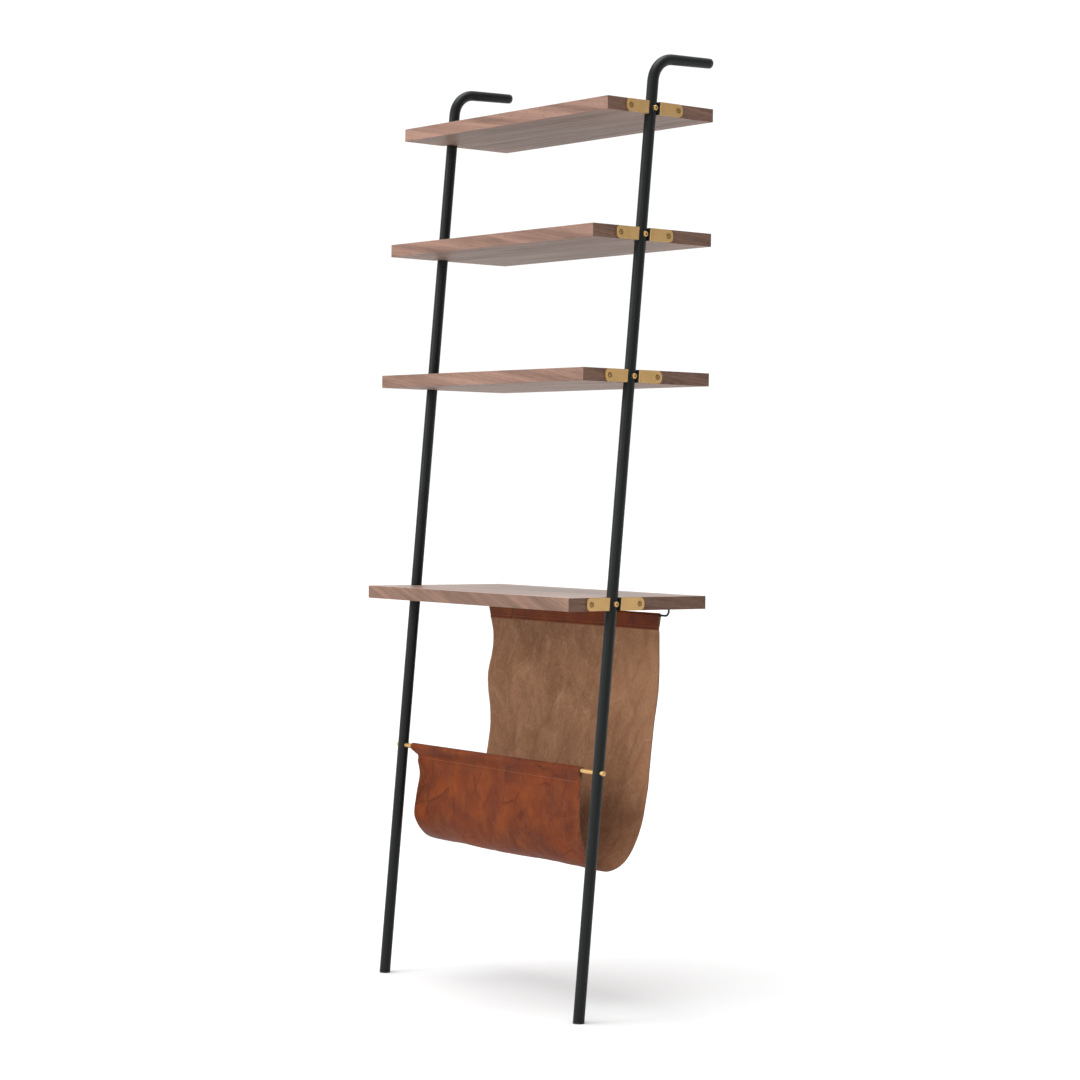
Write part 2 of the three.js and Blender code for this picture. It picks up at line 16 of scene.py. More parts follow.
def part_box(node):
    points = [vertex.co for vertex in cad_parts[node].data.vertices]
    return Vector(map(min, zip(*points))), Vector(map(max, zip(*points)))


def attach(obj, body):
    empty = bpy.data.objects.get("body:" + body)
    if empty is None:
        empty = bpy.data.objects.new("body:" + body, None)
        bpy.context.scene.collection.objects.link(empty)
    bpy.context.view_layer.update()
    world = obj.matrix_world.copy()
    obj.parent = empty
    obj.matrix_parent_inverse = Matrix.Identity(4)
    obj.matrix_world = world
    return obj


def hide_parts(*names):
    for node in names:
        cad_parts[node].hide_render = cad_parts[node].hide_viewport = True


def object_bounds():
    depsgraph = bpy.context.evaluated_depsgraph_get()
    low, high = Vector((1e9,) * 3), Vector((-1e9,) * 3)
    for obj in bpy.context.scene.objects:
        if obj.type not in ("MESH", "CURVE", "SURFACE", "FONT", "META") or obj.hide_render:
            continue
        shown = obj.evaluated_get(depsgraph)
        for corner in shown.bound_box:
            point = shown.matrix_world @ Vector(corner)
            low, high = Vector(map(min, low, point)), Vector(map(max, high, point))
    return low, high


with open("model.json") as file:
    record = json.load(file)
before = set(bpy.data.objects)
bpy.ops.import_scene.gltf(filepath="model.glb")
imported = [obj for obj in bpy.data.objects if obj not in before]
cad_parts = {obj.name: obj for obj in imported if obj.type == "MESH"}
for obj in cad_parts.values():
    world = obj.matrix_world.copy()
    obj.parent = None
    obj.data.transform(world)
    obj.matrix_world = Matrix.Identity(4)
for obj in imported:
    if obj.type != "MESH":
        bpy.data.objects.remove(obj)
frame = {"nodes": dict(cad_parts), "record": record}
CAD_LOW, CAD_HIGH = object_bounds()
WALL_Y = CAD_HIGH.y
MM = 0.001


# ---- Camera, light and floor ----
def make_camera():
    """A long lens at the photograph's viewpoint: front right, a little above the middle."""
    data = bpy.data.cameras.new("camera")
    data.sensor_width = 36
    data.lens = 87.83
    camera = bpy.data.objects.new("camera", data)
    bpy.context.collection.objects.link(camera)
    yaw = math.radians(-51.68)
    pitch = math.radians(-1.05)
    roll = math.radians(0.82)
    ahead = Vector((math.sin(yaw) * math.cos(pitch), math.cos(yaw) * math.cos(pitch), math.sin(pitch)))
    level = Vector((math.cos(yaw), -math.sin(yaw), 0))
    upright = level.cross(ahead)
    across = level * math.cos(roll) + upright * math.sin(roll)
    up = upright * math.cos(roll) - level * math.sin(roll)
    place = Vector((5.057, WALL_Y - 4.184, 1.220))
    axes = Matrix((across, up, -ahead)).transposed()
    camera.matrix_world = Matrix.Translation(place) @ axes.to_4x4()
    bpy.context.scene.camera = camera


def area_light(name, place, target, size, watts):
    data = bpy.data.lights.new(name, "AREA")
    data.shape = "DISK"
    data.size = size
    data.energy = watts
    light = bpy.data.objects.new(name, data)
    bpy.context.collection.objects.link(light)
    light.location = place
    light.rotation_euler = (Vector(target) - Vector(place)).to_track_quat("-Z", "Y").to_euler()


def sky_light(strength, heading, spread):
    """Broad light from above, which whitens the floor out to the horizon."""
    data = bpy.data.lights.new("sky", "SUN")
    data.energy = strength
    data.angle = math.radians(spread)
    light = bpy.data.objects.new("sky", data)
    bpy.context.collection.objects.link(light)
    light.rotation_euler = Vector(heading).to_track_quat("-Z", "Y").to_euler()


def make_world():
    """White studio surroundings that fall off towards +X, so that the board ends are in soft shade."""
    world = bpy.data.worlds.new("studio")
    bpy.context.scene.world = world
    world.use_nodes = True
    nodes = world.node_tree.nodes
    links = world.node_tree.links
    coords = nodes.new("ShaderNodeTexCoord")
    split = nodes.new("ShaderNodeSeparateXYZ")
    fall = nodes.new("ShaderNodeMapRange")
    fall.inputs["From Min"].default_value = 0.1
    fall.inputs["From Max"].default_value = 0.9
    fall.inputs["To Min"].default_value = 1.05
    fall.inputs["To Max"].default_value = 0.3
    links.new(coords.outputs["Generated"], split.inputs[0])
    links.new(split.outputs["X"], fall.inputs["Value"])
    links.new(fall.outputs["Result"], nodes["Background"].inputs["Strength"])
    nodes["Background"].inputs["Color"].default_value = (1, 1, 1, 1)


def make_floor():
    bpy.ops.mesh.primitive_plane_add(size=400)
    floor = bpy.context.object
    floor.name = "floor"
    pale = bpy.data.materials.new("floor_pale")
    pale.use_nodes = True
    shader = pale.node_tree.nodes["Principled BSDF"]
    shader.inputs["Base Color"].default_value = (0.62, 0.62, 0.62, 1)
    shader.inputs["Roughness"].default_value = 0.9
    floor.data.materials.append(pale)


# ---- Materials ----
class Graph:
    """A procedural material in the object's own coordinates, in metres."""

    def __init__(self, name, **sockets):
        self.material = bpy.data.materials.new(name)
        self.material.use_nodes = True
        self.tree = self.material.node_tree
        self.shader = self.tree.nodes["Principled BSDF"]
        for socket, value in sockets.items():
            self.shader.inputs[socket.replace("_", " ")].default_value = value
        self.place = self.add("ShaderNodeTexCoord").outputs["Object"]

    def add(self, kind, **settings):
        node = self.tree.nodes.new(kind)
        for key, value in settings.items():
            setattr(node, key, value)
        return node

    def feed(self, socket, value):
        if isinstance(value, bpy.types.NodeSocket):
            self.tree.links.new(value, socket)
        elif isinstance(value, tuple) and len(value) == 3 and socket.type == "RGBA":
            socket.default_value = (*value, 1)
        else:
            socket.default_value = value

    def shine(self, socket, value):
        self.feed(self.shader.inputs[socket], value)

    def sized(self, size, turn=(0, 0, 0)):
        """Coordinates in which one unit is a feature of this size in metres, turned by these angles."""
        node = self.add("ShaderNodeMapping", vector_type="TEXTURE")
        node.inputs["Scale"].default_value = size if isinstance(size, tuple) else (size,) * 3
        node.inputs["Rotation"].default_value = turn
        self.feed(node.inputs["Vector"], self.place)
        return node.outputs[0]

    def noise(self, size, turn=(0, 0, 0), detail=4, rough=0.55, distort=0.0):
        node = self.add("ShaderNodeTexNoise")
        self.feed(node.inputs["Vector"], self.sized(size, turn))
        node.inputs["Scale"].default_value = 1
        node.inputs["Detail"].default_value = detail
        node.inputs["Roughness"].default_value = rough
        node.inputs["Distortion"].default_value = distort
        return node.outputs["Fac"]

    def cells(self, size):
        """Small pebbles of this size."""
        node = self.add("ShaderNodeTexVoronoi", feature="F1")
        self.feed(node.inputs["Vector"], self.sized(size))
        node.inputs["Scale"].default_value = 1
        return node.outputs["Distance"]

    def spread(self, value, low, high, to_low=0.0, to_high=1.0):
        node = self.add("ShaderNodeMapRange")
        self.feed(node.inputs["Value"], value)
        node.inputs["From Min"].default_value = low
        node.inputs["From Max"].default_value = high
        node.inputs["To Min"].default_value = to_low
        node.inputs["To Max"].default_value = to_high
        return node.outputs["Result"]

    def along(self, axis):
        """The place along one axis, in metres."""
        node = self.add("ShaderNodeSeparateXYZ")
        self.feed(node.inputs[0], self.place)
        return node.outputs[axis]

    def maths(self, operation, a, b=0.0):
        node = self.add("ShaderNodeMath", operation=operation)
        self.feed(node.inputs[0], a)
        self.feed(node.inputs[1], b)
        return node.outputs[0]

    def crease(self, size, turn=(0, 0, 0), width=0.03, wobble=0.25):
        """A net of thin fold lines, 1 along the line and 0 away from it, in wobbling cells of this size."""
        place = self.sized(size, turn)
        drift = self.add("ShaderNodeTexNoise")
        drift.inputs["Scale"].default_value = 1.8
        drift.inputs["Detail"].default_value = 3
        self.feed(drift.inputs["Vector"], place)
        shifted = self.add("ShaderNodeVectorMath", operation="MULTIPLY_ADD")
        self.feed(shifted.inputs[0], drift.outputs["Color"])
        shifted.inputs[1].default_value = (wobble, wobble, wobble)
        self.feed(shifted.inputs[2], place)
        net = self.add("ShaderNodeTexVoronoi", feature="DISTANCE_TO_EDGE")
        net.inputs["Scale"].default_value = 1
        self.feed(net.inputs["Vector"], shifted.outputs[0])
        return self.spread(net.outputs["Distance"], 0.0, width, 1.0, 0.0)

    def blend(self, share, a, b):
        node = self.add("ShaderNodeMix", data_type="RGBA", blend_type="MIX")
        self.feed(node.inputs["Factor"], share)
        self.feed(node.inputs[6], a)
        self.feed(node.inputs[7], b)
        return node.outputs[2]

    def bump(self, height, depth, strength=1.0, under=None):
        node = self.add("ShaderNodeBump")
        node.inputs["Strength"].default_value = strength
        node.inputs["Distance"].default_value = depth
        self.feed(node.inputs["Height"], height)
        if under is not None:
            self.feed(node.inputs["Normal"], under)
        return node.outputs[0]


def powder_coat():
    g = Graph("black_powder_coat", Metallic=0.0, Specular_IOR_Level=0.2)
    cloud = g.noise(0.12, detail=5)
    g.shine("Base Color", g.blend(cloud, (0.0045, 0.0058, 0.0057), (0.0085, 0.0105, 0.0103)))
    g.shine("Roughness", g.spread(g.noise(0.05), 0.3, 0.7, 0.38, 0.5))
    g.shine("Normal", g.bump(g.noise(0.0011, detail=2), 0.00012, 0.35))
    return g.material


def nylon():
    g = Graph("black_nylon", Metallic=0.0)
    g.shine("Base Color", g.blend(g.noise(0.03), (0.006, 0.006, 0.006), (0.014, 0.014, 0.015)))
    g.shine("Roughness", g.spread(g.noise(0.01), 0.3, 0.7, 0.5, 0.68))
    g.shine("Normal", g.bump(g.noise(0.0008), 0.0001, 0.4))
    return g.material


def brushed_brass(name, base, shade):
    """Satin brass, brushed from front to back, with a faint darker tarnish."""
    g = Graph(name, Metallic=1.0)
    brushing = g.noise((0.0003, 0.03, 0.0003), detail=3)
    tarnish = g.spread(g.noise(0.018, detail=6), 0.35, 0.7)
    metal = g.blend(tarnish, base, shade)
    bright = tuple(min(1.0, 1.15 * c) for c in base)
    g.shine("Base Color", g.blend(g.spread(brushing, 0.3, 0.7, 0.0, 0.4), metal, bright))
    g.shine("Roughness", g.spread(brushing, 0.25, 0.75, 0.36, 0.5))
    g.shine("Normal", g.bump(brushing, 0.00004, 0.5))
    return g.material


def walnut(name, along, tilt, dark, light, contrast, rough=(0.46, 0.62)):
    """Oiled walnut. The grain runs along X or Y, and tilt turns it.

    contrast is how strong the streaks are, and rough is the roughness between and on them.
    """

    def size(length, width, depth):
        return (length, width, depth) if along == "X" else (width, length, depth)

    g = Graph(name, Metallic=0.0, Specular_IOR_Level=0.28)
    figure = g.spread(g.noise(size(0.55, 0.05, 0.026), tilt, detail=4, distort=0.5), 0.34, 0.66)
    streak = g.spread(g.noise(size(0.40, 0.0075, 0.006), tilt, detail=6, rough=0.6), 0.40, 0.64)
    fine = g.noise(size(0.09, 0.0018, 0.0018), tilt, detail=4, rough=0.6)
    pores = g.spread(g.noise(size(0.016, 0.0009, 0.0009), tilt, detail=1), 0.60, 0.72)
    board = g.blend(figure, dark, light)
    board = g.blend(g.maths("MULTIPLY", streak, contrast), board, tuple(0.36 * c for c in light))
    board = g.blend(g.spread(fine, 0.35, 0.7, 0.0, contrast), board, light)
    board = g.blend(g.maths("MULTIPLY", pores, contrast), board, tuple(0.4 * c for c in dark))
    g.shine("Base Color", board)
    g.shine("Roughness", g.spread(streak, 0.0, 1.0, *rough))
    grain = g.bump(fine, 0.00012, 0.5)
    g.shine("Normal", g.bump(g.maths("SUBTRACT", 1.0, pores), 0.00018, 0.6, grain))
    return g.material


def smooth_leather(name, dark, mid, bright):
    g = Graph(name, Metallic=0.0, Specular_IOR_Level=0.11)
    cloud = g.spread(g.noise((0.11, 0.11, 0.09), detail=7, rough=0.6, distort=0.5), 0.35, 0.68)
    patch = g.spread(g.noise((0.05, 0.05, 0.06), detail=8, rough=0.65, distort=0.6), 0.46, 0.78)
    lean = (0, math.radians(-32), 0)
    long_fold = g.crease((0.055, 0.055, 0.15), (0, math.radians(24), 0), width=0.045)
    short_fold = g.crease((0.028, 0.028, 0.06), lean, width=0.05, wobble=0.4)
    where = g.noise(0.07, detail=3)
    broken = g.maths("MULTIPLY", long_fold, g.spread(where, 0.46, 0.60))
    faint = g.maths("MULTIPLY", short_fold, g.spread(where, 0.52, 0.40))
    fold = g.maths("MAXIMUM", broken, g.maths("MULTIPLY", faint, 0.6))
    hide = g.blend(cloud, dark, mid)
    hide = g.blend(g.maths("MULTIPLY", patch, 0.38), hide, bright)
    # Painted shade: the fold lines are darkened.
    hide = g.blend(g.maths("MULTIPLY", fold, 0.62), hide, tuple(0.5 * c for c in dark))
    g.shine("Base Color", hide)
    pebble = g.cells(0.0016)
    g.shine("Roughness", g.spread(cloud, 0.0, 1.0, 0.5, 0.66))
    soft = g.bump(g.noise((0.028, 0.028, 0.04), lean, detail=5), 0.0026, 0.55)
    lines = g.bump(g.maths("SUBTRACT", 1.0, fold), 0.0008, 0.7, soft)
    g.shine("Normal", g.bump(pebble, 0.0003, 0.45, lines))
    return g.material


def suede():
    g = Graph("suede_inside", Metallic=0.0, Specular_IOR_Level=0.1, Sheen_Weight=0.06, Sheen_Roughness=0.5)
    cloud = g.spread(g.noise((0.09, 0.09, 0.12), detail=7, rough=0.62, distort=1.0), 0.32, 0.7)
    nap = g.noise((0.002, 0.002, 0.004), detail=5)
    lean = (0, math.radians(24), 0)
    long_fold = g.crease((0.05, 0.05, 0.13), lean, width=0.045, wobble=0.45)
    short_fold = g.crease((0.018, 0.018, 0.038), (0, math.radians(-20), 0), width=0.07, wobble=0.5)
    where = g.noise(0.07, detail=4)
    broken = g.maths("MULTIPLY", long_fold, g.spread(where, 0.46, 0.60))
    faint = g.maths("MULTIPLY", short_fold, g.spread(where, 0.54, 0.42))
    fold = g.maths("MAXIMUM", broken, g.maths("MULTIPLY", faint, 0.5))
    # Painted shade: wide dark bands along the long folds.
    dent_shade = g.maths("MULTIPLY", g.crease((0.05, 0.05, 0.13), lean, width=0.16), g.spread(where, 0.58, 0.44))
    hide = g.blend(cloud, (0.170, 0.077, 0.037), (0.290, 0.149, 0.080))
    across = g.along("X")
    height = g.along("Z")
    # Painted light: the suede grows lighter towards +X, the side where more light falls.
    hide = g.blend(g.spread(across, 0.02, 0.30, 0.0, 0.35), hide, (0.40, 0.205, 0.105))
    hide = g.blend(g.spread(height, 0.70, 0.36, 0.0, 0.30), hide, (0.30, 0.105, 0.045))
    speck = g.noise((0.006, 0.006, 0.008), lean, detail=6, rough=0.7)
    hide = g.blend(g.spread(speck, 0.42, 0.68, 0.0, 0.24), hide, (0.42, 0.24, 0.145))
    hide = g.blend(g.spread(speck, 0.34, 0.5, 0.18, 0.0), hide, (0.12, 0.055, 0.028))
    hide = g.blend(g.maths("MULTIPLY", fold, 0.22), hide, (0.50, 0.31, 0.20))
    # Painted shade along the long folds.
    hide = g.blend(g.maths("MULTIPLY", dent_shade, 0.30), hide, (0.12, 0.055, 0.027))
    g.shine("Base Color", hide)
    g.shine("Roughness", g.spread(nap, 0.3, 0.7, 0.82, 0.97))
    soft = g.bump(g.noise((0.03, 0.03, 0.05), lean, detail=5), 0.003, 0.5)
    lines = g.bump(fold, 0.0012, 0.8, soft)
    g.shine("Normal", g.bump(nap, 0.0006, 0.5, lines))
    return g.material


def cut_edge():
    g = Graph("leather_cut_edge", Metallic=0.0)
    fibre = g.noise((0.004, 0.002, 0.004), detail=5)
    g.shine("Base Color", g.blend(fibre, (0.075, 0.030, 0.014), (0.19, 0.095, 0.05)))
    g.shine("Roughness", 0.8)
    g.shine("Normal", g.bump(fibre, 0.0005, 0.6))
    return g.material


def thread():
    g = Graph("waxed_thread", Metallic=0.0)
    twist = g.noise((0.0006, 0.0012, 0.0006), detail=2)
    g.shine("Base Color", g.blend(twist, (0.19, 0.068, 0.034), (0.34, 0.15, 0.085)))
    g.shine("Roughness", 0.6)
    g.shine("Normal", g.bump(twist, 0.0002, 0.6))
    return g.material


# ---- Meshes ----
def link_mesh(name, points, faces, materials, indices=None):
    mesh = bpy.data.meshes.new(name)
    mesh.from_pydata([tuple(p) for p in points], [], faces)
    for material in materials:
        mesh.materials.append(material)
    if indices is not None:
        mesh.polygons.foreach_set("material_index", indices)
    mesh.polygons.foreach_set("use_smooth", [True] * len(faces))
    mesh.update()
    piece = bpy.data.objects.new(name, mesh)
    bpy.context.collection.objects.link(piece)
    return piece


# ---- Boards ----
NOTCH_HALF = 20.3 * MM
POLE_LEAN = math.tan(math.radians(4.78))
EASED_EDGE = 0.9 * MM
TOUCH = 0.3 * MM
# A board's materials, in the order of its slots.
BOARD_FACE, BOARD_EDGE, BOARD_END = range(3)


def make_board(name, face_wood, edge_wood, end_grain_and_shade):
    """A board with eased edges, and a notch through each end where the brass channel sits."""
    low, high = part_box(f"shelf_{name}")
    bracket_low, bracket_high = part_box(f"bracket_{name}_right")
    floor_x = bracket_low.x - TOUCH
    middle = (bracket_low.y + bracket_high.y) / 2
    half_rise = POLE_LEAN * (high.z - low.z) / 2

    def outline(shift):
        front = middle - NOTCH_HALF + shift
        back = middle + NOTCH_HALF + shift
        notch = [(high.x, front), (floor_x, front), (floor_x, back), (high.x, back)]
        right = [(high.x, low.y), *notch, (high.x, high.y)]
        return right + [(-x, y) for x, y in reversed(right)]

    work = bmesh.new()
    lower = [work.verts.new((x, y, low.z)) for x, y in outline(-half_rise)]
    upper = [work.verts.new((x, y, high.z)) for x, y in outline(half_rise)]
    work.faces.new(list(reversed(lower)))
    work.faces.new(upper)
    count = len(lower)
    for i in range(count):
        j = (i + 1) % count
        work.faces.new((lower[i], lower[j], upper[j], upper[i]))
    bmesh.ops.recalc_face_normals(work, faces=work.faces)
    bmesh.ops.bevel(work, geom=list(work.edges), offset=EASED_EDGE, segments=2, affect="EDGES", profile=0.6)
    mesh = bpy.data.meshes.new(f"board_{name}")
    for face in work.faces:
        if abs(face.normal.x) > 0.8:
            face.material_index = BOARD_END
        elif abs(face.normal.z) < 0.6:
            face.material_index = BOARD_EDGE
        else:
            face.material_index = BOARD_FACE
    work.to_mesh(mesh)
    work.free()
    for wood in (face_wood, edge_wood, end_grain_and_shade):
        mesh.materials.append(wood)
    piece = bpy.data.objects.new(f"board_{name}", mesh)
    bpy.context.collection.objects.link(piece)
    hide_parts(f"shelf_{name}")
    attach(piece, "rack")


# ---- Leather sling ----
BACK_ROD_RADIUS = 2.5 * MM
FRONT_ROD_RADIUS = 6 * MM
LEATHER = 2.4 * MM
PLY = 2.7 * MM
HEM_BACK = 35 * MM
HEM_FRONT = 30 * MM
# The sleeve stands off its rod, and its two plies part a little above the stitches.
SLEEVE_GAP = 0.5 * MM
PARTING = 8 * MM
BELOW_HEM = 4 * MM
# How the side edges hang, back to front: depth from the wall and height, in millimetres.
HANG_RIGHT = [(76, 855), (76, 812), (79, 755), (86, 706), (94, 655), (102, 600), (113, 510), (132, 424),
              (174, 356), (232, 332), (283, 357), (311, 412), (319, 462), (317, 512)]
HANG_LEFT = [(64, 855), (64, 812), (73, 755), (71, 706), (66, 655), (67, 600), (74, 510), (92, 424),
             (136, 356), (200, 332), (262, 346), (300, 392), (296, 442), (287, 500)]
# The left edge waves in and out below the back hem, and spreads a little past the hems.
FIRST_WAVE = 45 * MM
WAVE_LENGTH = 225 * MM
LEFT_WAVE = 4.0 * MM
RIGHT_WAVE = 3.0 * MM
LEFT_SPREAD = 9.5 * MM
# Powers that keep the waves near the side edges, the room near the back hem, and the hems flat.
WAVE_FADE = 6
ROOM_FADE = 4
HEM_FADE = 0.6
# Where the panel leaves each hem, from the rod's axis (0) to the hanging leather (1).
BACK_JOIN = 0.4
FRONT_JOIN = 0.6
# The back hem stops short of the rod's bends, so that the sling can slide without running onto them.
LEFT_ROOM = 2.5 * MM
RIGHT_ROOM = 4.5 * MM
# The stitches draw the leather in, over this many rows of the mesh.
SEAM_PINCH = 1.6 * MM
PINCH_ROWS = 2.2
RIM_BULGE = 0.35 * MM
# The sling's materials, in the order of its slots.
OUTSIDE, INSIDE, CUT_EDGE = range(3)
COLUMNS = 150
PANEL_ROWS = 170
ARC_ROWS = 16
# A seam lies this many rows up from the end of the sleeve's rows, and from the flap's free end.
SEAM_INSET = 3
# How far each kind of unevenness stands off the smooth hang, in millimetres.
BROAD_SWELL = 5.5
FOLD_SWELL = 2.8
SMALL_SWELL = 0.9
RIDGE_SWELL = 0.5
PUCKER_SWELL = 1.1


def rod_axis(node, radius):
    """A rod's depth from the wall and its height."""
    low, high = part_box(node)
    return WALL_Y - (low.y + high.y) / 2, low.z + radius


def spline(knots, count):
    """Points on a smooth curve through the knots."""
    knots = np.array(knots, float)
    ends = np.vstack([2 * knots[0] - knots[1], knots, 2 * knots[-1] - knots[-2]])
    places = np.linspace(0, len(knots) - 1, count)
    first = np.minimum(places.astype(int), len(knots) - 2)
    t = (places - first)[:, None]
    a, b, c, d = (ends[first + k] for k in range(4))
    return 0.5 * (2 * b + (c - a) * t + (2 * a - 5 * b + 4 * c - d) * t**2 + (3 * b - a - 3 * c + d) * t**3)


def sleeve(axis, radius, hem, side, join_depth):
    """From the flap's free end up, over the rod and down to the panel. side is 1 for the front rod."""
    depth, height = axis
    around = radius + SLEEVE_GAP + LEATHER / 2
    joined = side * (join_depth - depth)
    panel = (joined, PARTING - hem)
    flap = (joined - PLY, PARTING - hem)

    def leave(point, way):
        return math.atan2(point[1], point[0]) + way * math.acos(around / math.hypot(*point))

    turns = np.linspace(leave(flap, -1) + 2 * math.pi, leave(panel, 1), ARC_ROWS)
    over = np.stack([around * np.cos(turns), around * np.sin(turns)], 1)
    down = np.linspace((flap[0], -hem), flap, 4)[:-1]
    rise = np.linspace(flap, over[0], 5)[:-1]
    fall = np.linspace(over[-1], panel, 5)[1:]
    last = np.linspace(panel, (joined, -hem - BELOW_HEM), 5)[1:]
    local = np.vstack([down, rise, over, fall, last])
    return np.stack([depth + side * local[:, 0], height + local[:, 1]], 1)


def sling_path(share, back_axis, front_axis):
    """The leather's middle line at a share of the way from its left edge to its right."""
    hang = (np.array(HANG_LEFT) * (1 - share) + np.array(HANG_RIGHT) * share) * MM
    back_join = hang[0][0] * BACK_JOIN + back_axis[0] * (1 - BACK_JOIN)
    front_join = hang[-1][0] * FRONT_JOIN + front_axis[0] * (1 - FRONT_JOIN)
    back = sleeve(back_axis, BACK_ROD_RADIUS, HEM_BACK, -1, back_join)
    front = sleeve(front_axis, FRONT_ROD_RADIUS, HEM_FRONT, 1, front_join)[::-1]
    panel = spline([back[-1], *hang, front[0]], PANEL_ROWS)
    return np.vstack([back[:-1], panel, front[1:]]), len(back)


def crumple(x, along, free):
    """How far the leather stands off its smooth hang, in metres. free is 0 at the hems and 1 mid-panel."""
    pucker = noise.noise(Vector((x * 34, along * 9, 31.4))) * free * (1 - free) * 4
    broad = noise.noise(Vector((x * 3.1, along * 1.7, 4.2)))
    folds = noise.noise(Vector((x * 9.0 + along * 1.5, along * 2.2, 11.7)))
    small = noise.fractal(Vector((x * 26, along * 17, 2.5)), 0.9, 2.1, 3)
    ridge = 1 - abs(noise.noise(Vector((x * 15 + along * 4, along * 6, 20.1))))
    swell = BROAD_SWELL * broad + FOLD_SWELL * folds + SMALL_SWELL * small + RIDGE_SWELL * ridge**6
    return (free * swell + PUCKER_SWELL * pucker) * MM


def unit(vectors):
    return vectors / np.linalg.norm(vectors, axis=-1, keepdims=True)


def sheet_normals(points):
    """Unit normals of a grid of points, pointing into the pocket."""
    along = np.gradient(points, axis=0)
    across = np.gradient(points, axis=1)
    return unit(np.cross(along, across))


def make_sling(outside, inside, edge, sewing):
    back_axis = rod_axis("sling_rod_back", BACK_ROD_RADIUS)
    front_axis = rod_axis("sling_rod_front", FRONT_ROD_RADIUS)
    low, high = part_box("leather_sling")
    shares = np.linspace(0, 1, COLUMNS)
    paths = [sling_path(s, back_axis, front_axis) for s in shares]
    hem_rows = paths[0][1]
    lines = np.stack([p for p, _ in paths], 1)
    rows = lines.shape[0]
    steps = np.linalg.norm(np.diff(lines, axis=0), axis=2)
    run = np.vstack([np.zeros(COLUMNS), np.cumsum(steps, axis=0)])
    panel = np.clip((np.arange(rows) - hem_rows) / (PANEL_ROWS - 2), 0, 1)
    free = np.clip(np.sin(math.pi * panel), 0, 1) ** HEM_FADE
    points = np.zeros((rows, COLUMNS, 3))
    for r in range(rows):
        for c, share in enumerate(shares):
            t = run[r, c]
            wave_left = LEFT_WAVE * math.cos(math.tau * (t - run[hem_rows, c] - FIRST_WAVE) / WAVE_LENGTH)
            wave_right = RIGHT_WAVE * noise.noise(Vector((t * 6, 8.9, 0)))
            sway = (wave_left - LEFT_SPREAD) * (1 - share) ** WAVE_FADE + wave_right * share**WAVE_FADE
            room = (LEFT_ROOM * (1 - share) - RIGHT_ROOM * share) * (1 - panel[r]) ** ROOM_FADE
            x = low.x + (high.x - low.x) * share + room + free[r] * sway
            points[r, c] = (x, WALL_Y - lines[r, c, 0], lines[r, c, 1])
    normals = sheet_normals(points)
    back_seam = hem_rows - SEAM_INSET
    seams = np.array([back_seam, rows - 1 - back_seam])
    pinch = SEAM_PINCH * np.exp(-(((np.arange(rows)[:, None] - seams) / PINCH_ROWS) ** 2)).sum(1)
    shift = np.zeros((rows, COLUMNS))
    for r in range(rows):
        for c in range(COLUMNS):
            shift[r, c] = pinch[r] + crumple(points[r, c, 0], run[r, c], free[r])
    points += normals * shift[..., None]
    normals = sheet_normals(points)
    build_sling_mesh(points, normals, (outside, inside, edge), sewing, seams)


def build_sling_mesh(points, normals, materials, sewing, seams):
    rows, columns = points.shape[:2]
    if normals[rows // 2, columns // 2, 2] < 0:
        normals = -normals
    outer = points - normals * LEATHER / 2
    inner = points + normals * LEATHER / 2
    vertices = np.vstack([outer.reshape(-1, 3), inner.reshape(-1, 3)])
    inner_start = rows * columns
    faces = []
    indices = []

    def quad(a, b, c, d, index):
        faces.append((a, b, c, d))
        indices.append(index)

    for r in range(rows - 1):
        for c in range(columns - 1):
            a, b = r * columns + c, r * columns + c + 1
            d, e = a + columns, b + columns
            quad(a, d, e, b, OUTSIDE)
            quad(inner_start + a, inner_start + b, inner_start + e, inner_start + d, INSIDE)
    # The cut edge bulges a little, so each rim has a middle line of its own.
    rim = [(r, 0) for r in range(rows)] + [(rows - 1, c) for c in range(1, columns)]
    rim += [(r, columns - 1) for r in range(rows - 2, -1, -1)] + [(0, c) for c in range(columns - 2, 0, -1)]
    ring = np.array([points[r, c] for r, c in rim])
    tangent = np.roll(ring, -1, axis=0) - np.roll(ring, 1, axis=0)
    out = unit(np.cross(tangent, np.array([normals[r, c] for r, c in rim])))
    centre = points[rows // 2, columns // 2]
    if np.dot(out[rows // 2], points[rows // 2, 0] - centre) < 0:
        out = -out
    middle_start = len(vertices)
    vertices = np.vstack([vertices, ring + out * RIM_BULGE])
    for i, (r, c) in enumerate(rim):
        j = (i + 1) % len(rim)
        nr, nc = rim[j]
        a, b = r * columns + c, nr * columns + nc
        quad(a, middle_start + i, middle_start + j, b, CUT_EDGE)
        quad(middle_start + i, inner_start + a, inner_start + b, middle_start + j, CUT_EDGE)
    sling = link_mesh("sling", vertices, faces, materials, indices)
    tidy_normals(sling)
    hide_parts("leather_sling")
    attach(sling, "sling")
    threads = [
        make_stitches("sling_stitches_back", points, normals, (seams[0], SEAM_INSET), sewing),
        make_stitches("sling_stitches_front", points, normals, (seams[1], rows - 1 - SEAM_INSET), sewing),
    ]


def tidy_normals(piece):
    work = bmesh.new()
    work.from_mesh(piece.data)
    bmesh.ops.recalc_face_normals(work, faces=work.faces)
    work.to_mesh(piece.data)
    work.free()


STITCH = 5.2 * MM
STITCH_PITCH = 7.5 * MM
STITCH_MARGIN = 12 * MM
THREAD_RADIUS = 0.5 * MM
THREAD_END = 0.35
THREAD_SIDES = 6
THREAD_RINGS = 5


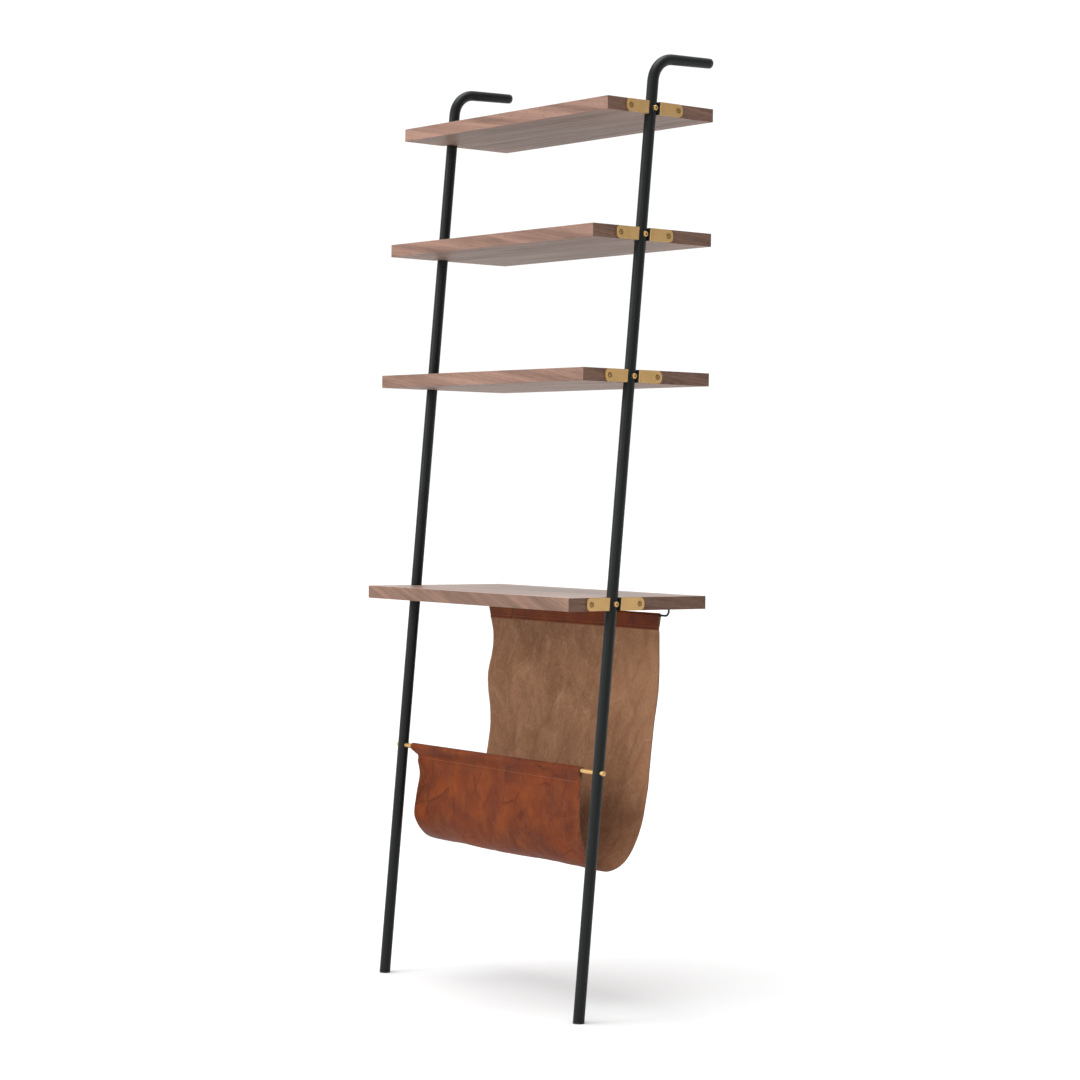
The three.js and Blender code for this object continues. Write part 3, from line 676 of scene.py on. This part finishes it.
def make_stitches(name, points, normals, seam_rows, sewing):
    """A row of saddle stitches on both sides of a hem: on the panel's outside and on the flap."""
    columns = points.shape[1]
    vertices = []
    faces = []
    sides = THREAD_SIDES
    rings = THREAD_RINGS
    for row in seam_rows:
        line = points[row] - normals[row] * (LEATHER / 2)
        width = line[-1, 0] - line[0, 0]
        count = int((width - STITCH_MARGIN) / STITCH_PITCH)
        start = (width - count * STITCH_PITCH) / 2
        for k in range(count):
            for ring in range(rings + 1):
                reach = start + k * STITCH_PITCH + STITCH * ring / rings
                place = reach / width * (columns - 1)
                c = int(place)
                share = place - c
                base = line[c] * (1 - share) + line[c + 1] * share
                out = -normals[row, c]
                arch = math.sin(math.pi * ring / rings)
                radius = THREAD_RADIUS * (THREAD_END + (1 - THREAD_END) * arch**0.5)
                centre = base + out * (0.5 * arch - 0.25) * MM
                upward = unit(np.cross(out, (1.0, 0.0, 0.0)))
                for s in range(sides):
                    angle = 2 * math.pi * s / sides
                    vertices.append(centre + radius * (math.cos(angle) * out + math.sin(angle) * upward))
            first = len(vertices) - sides * (rings + 1)
            for ring in range(rings):
                for s in range(sides):
                    n = (s + 1) % sides
                    a = first + ring * sides
                    faces.append((a + s, a + n, a + sides + n, a + sides + s))
            faces.append(tuple(first + s for s in reversed(range(sides))))
            faces.append(tuple(first + rings * sides + s for s in range(sides)))
    piece = link_mesh(name, vertices, faces, [sewing])
    tidy_normals(piece)
    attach(piece, "sling")
    return piece


# ---- Finish the CAD nodes ----
WELD_REACH = 0.01 * MM
CRISP_ANGLE = math.radians(28)
FLAT_DEPTH = 0.1 * MM


def smooth_rounds(node):
    """Joins a node's loose triangles so that its rounds shade smoothly, and keeps its corners crisp."""
    mesh = node.data
    loose_normals = mesh.attributes.get("custom_normal")
    if loose_normals:
        mesh.attributes.remove(loose_normals)
    mesh.polygons.foreach_set("use_smooth", [True] * len(mesh.polygons))
    node.modifiers.new("weld", "WELD").merge_threshold = WELD_REACH
    node.modifiers.new("crisp_corners", "EDGE_SPLIT").split_angle = CRISP_ANGLE


def paint_recess_shade(mesh):
    """A screw's flat face stays bright brass; its sloping rim and its cross recess get a dark brass, which
    is painted shade.
    """
    reach = max(abs(face.center.x) for face in mesh.polygons)
    for face in mesh.polygons:
        bright = abs(face.normal.x) > 0.99 and abs(face.center.x) > reach - FLAT_DEPTH
        face.material_index = 0 if bright else 1


def paint_nodes():
    # A dark brass that paints the shade on the screws' sloping rims and in their cross recesses.
    recess_shade = brushed_brass("aged_brass", (0.17, 0.095, 0.038), (0.11, 0.058, 0.024))
    finishes = {
        "black_steel": powder_coat(),
        "black_nylon": nylon(),
        "brass": brushed_brass("satin_brass", (0.60, 0.385, 0.165), (0.53, 0.33, 0.135)),
    }
    for part in frame["record"]["subparts"]:
        name = part["node"]
        finish = finishes.get(part["material_slot"])
        if finish:
            mesh = frame["nodes"][name].data
            mesh.materials.clear()
            mesh.materials.append(finish)
            smooth_rounds(frame["nodes"][name])
            if name.startswith("screw_"):
                mesh.materials.append(recess_shade)
                paint_recess_shade(mesh)


# ---- Put it together ----
bpy.context.scene.view_settings.view_transform = "Standard"
make_camera()
make_world()
make_floor()
area_light("key", place=(-1.6, -4.8, 2.7), target=(0, 0, 1.0), size=2.6, watts=95)
area_light("fill", place=(3.6, -4.4, 2.4), target=(0, 0, 1.1), size=2.2, watts=40)
sky_light(strength=3.2, heading=(0.1, 0.12, -1), spread=50)
paint_nodes()
flat_tilt = (0, math.radians(0.7), math.radians(1.5))
level_tilt = (0, math.radians(9), 0)
steep_tilt = (0, math.radians(20), 0)
end_tilt = (math.radians(-7), 0, 0)
# The walnut materials are copies in different tones: the desk top's is a lighter copy, which is painted
# light from above; the desk edge's is a darker copy, which is painted shade; the end walnut is darker both
# for its end grain and for painted shade.
face_wood = walnut("walnut_face", "X", flat_tilt, (0.135, 0.078, 0.055), (0.235, 0.137, 0.100), 0.22)
desk_sheen = (0.33, 0.42)
desk_face_painted_light = walnut(
    "walnut_desk_face", "X", flat_tilt, (0.18, 0.103, 0.075), (0.33, 0.20, 0.15), 0.25, desk_sheen
)
edge_wood = walnut("walnut_edge", "X", level_tilt, (0.125, 0.065, 0.045), (0.315, 0.180, 0.132), 0.5)
desk_edge_painted_shade = walnut("walnut_desk_edge", "X", steep_tilt, (0.085, 0.046, 0.030), (0.265, 0.150, 0.106), 0.5)
end_grain_and_shade = walnut("walnut_end", "Y", end_tilt, (0.060, 0.029, 0.019), (0.19, 0.103, 0.072), 0.75)
for board in ("top", "upper", "middle"):
    make_board(board, face_wood, edge_wood, end_grain_and_shade)
make_board("desk", desk_face_painted_light, desk_edge_painted_shade, end_grain_and_shade)
cognac = smooth_leather(
    "cognac_leather", dark=(0.092, 0.017, 0.004), mid=(0.165, 0.033, 0.0065), bright=(0.29, 0.080, 0.012)
)
make_sling(cognac, suede(), cut_edge(), thread())
